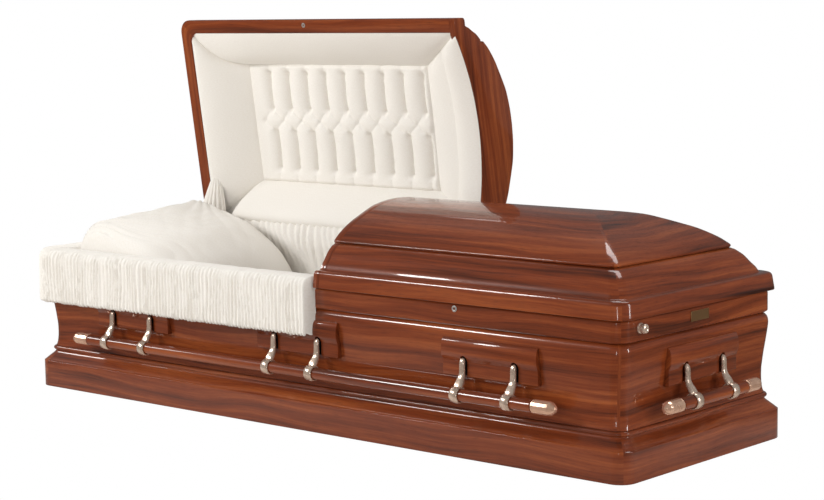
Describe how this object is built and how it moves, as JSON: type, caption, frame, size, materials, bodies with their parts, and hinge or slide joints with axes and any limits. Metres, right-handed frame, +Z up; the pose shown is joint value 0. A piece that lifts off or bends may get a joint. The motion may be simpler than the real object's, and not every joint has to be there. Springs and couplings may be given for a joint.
{
  "type": "funeral casket",
  "caption": "Half-couch wooden casket with moulded urn-shaped sides, crowned two-part hinged lid, swing-bar handles and a padded cloth interior; head lid shown open.",
  "frame": {"origin": "on the floor under the middle of the casket body, at the underside of the bottom board", "axes": "+X towards the foot end, -Y the front, +Z up"},
  "size_m": [2.164, 0.8749, 1.0567],
  "materials": {
    "mahogany": "reddish mahogany under a high-gloss clear coat",
    "handle_bronze": "pale polished bronze, brushed in the hollows",
    "tip_copper": "bright copper plate",
    "small_brass": "antique brass, satin",
    "lining_cloth": "cream crepe, shirred, tufted and puffed",
    "mattress_cloth": "plain cream cloth"
  },
  "bodies": {
    "root": {"base_moulding": "mahogany", "bottom_board": "mahogany", "wall_front": "mahogany", "wall_back": "mahogany", "wall_head": "mahogany", "wall_foot": "mahogany", "top_rail": "mahogany", "plaque_front_1": "mahogany", "plaque_front_2": "mahogany", "plaque_front_3": "mahogany", "plaque_back_1": "mahogany", "plaque_back_2": "mahogany", "plaque_back_3": "mahogany", "plaque_foot_1": "mahogany", "plaque_head_1": "mahogany", "screw_cap": "tip_copper", "blank_plate": "small_brass", "head_hinge_fixed_leaf": "small_brass", "foot_hinge_fixed_leaf": "small_brass", "wall_lining": "lining_cloth", "mattress": "mattress_cloth", "pillow": "lining_cloth", "apron": "lining_cloth"},
    "head_lid": {"head_lid_rim": "mahogany", "head_lid_crown": "mahogany", "head_lid_header": "mahogany", "head_hinge_lid_leaf": "small_brass", "head_lid_lining": "lining_cloth"},
    "foot_lid": {"foot_lid_rim": "mahogany", "foot_lid_crown": "mahogany", "foot_lid_header": "mahogany", "foot_hinge_lid_leaf": "small_brass"},
    "front_bar": {"arm_front_1a": "handle_bronze", "arm_front_1b": "handle_bronze", "arm_front_2a": "handle_bronze", "arm_front_2b": "handle_bronze", "arm_front_3a": "handle_bronze", "arm_front_3b": "handle_bronze", "bar_front": "mahogany", "tip_front_a": "tip_copper", "tip_front_b": "tip_copper"},
    "back_bar": {"arm_back_1a": "handle_bronze", "arm_back_1b": "handle_bronze", "arm_back_2a": "handle_bronze", "arm_back_2b": "handle_bronze", "arm_back_3a": "handle_bronze", "arm_back_3b": "handle_bronze", "bar_back": "mahogany", "tip_back_a": "tip_copper", "tip_back_b": "tip_copper"},
    "foot_bar": {"arm_foot_1a": "handle_bronze", "arm_foot_1b": "handle_bronze", "bar_foot": "mahogany", "tip_foot_a": "tip_copper", "tip_foot_b": "tip_copper"},
    "head_bar": {"arm_head_1a": "handle_bronze", "arm_head_1b": "handle_bronze", "bar_head": "mahogany", "tip_head_a": "tip_copper", "tip_head_b": "tip_copper"}
  },
  "joints": [
    {"name": "head_lid_hinge", "type": "hinge", "parent": "root", "child": "head_lid", "pos_m": [-0.491, 0.3433, 0.3825], "axis": [1, 0, 0], "range_deg": [0, 81.8], "deforming": ["pillow", "apron"]},
    {"name": "foot_lid_hinge", "type": "hinge", "parent": "root", "child": "foot_lid", "pos_m": [0.56, 0.3433, 0.3825], "axis": [-1, 0, 0], "range_deg": [0, 81.8]},
    {"name": "front_bar_swing", "type": "hinge", "parent": "root", "child": "front_bar", "pos_m": [0, -0.333, 0.243], "axis": [-1, 0, 0], "range_deg": [0, 70]},
    {"name": "back_bar_swing", "type": "hinge", "parent": "root", "child": "back_bar", "pos_m": [0, 0.333, 0.243], "axis": [1, 0, 0], "range_deg": [0, 70]},
    {"name": "foot_bar_swing", "type": "hinge", "parent": "root", "child": "foot_bar", "pos_m": [1.037, 0, 0.243], "axis": [0, -1, 0], "range_deg": [0, 70]},
    {"name": "head_bar_swing", "type": "hinge", "parent": "root", "child": "head_bar", "pos_m": [-1.037, 0, 0.243], "axis": [0, 1, 0], "range_deg": [0, 70]}
  ]
}
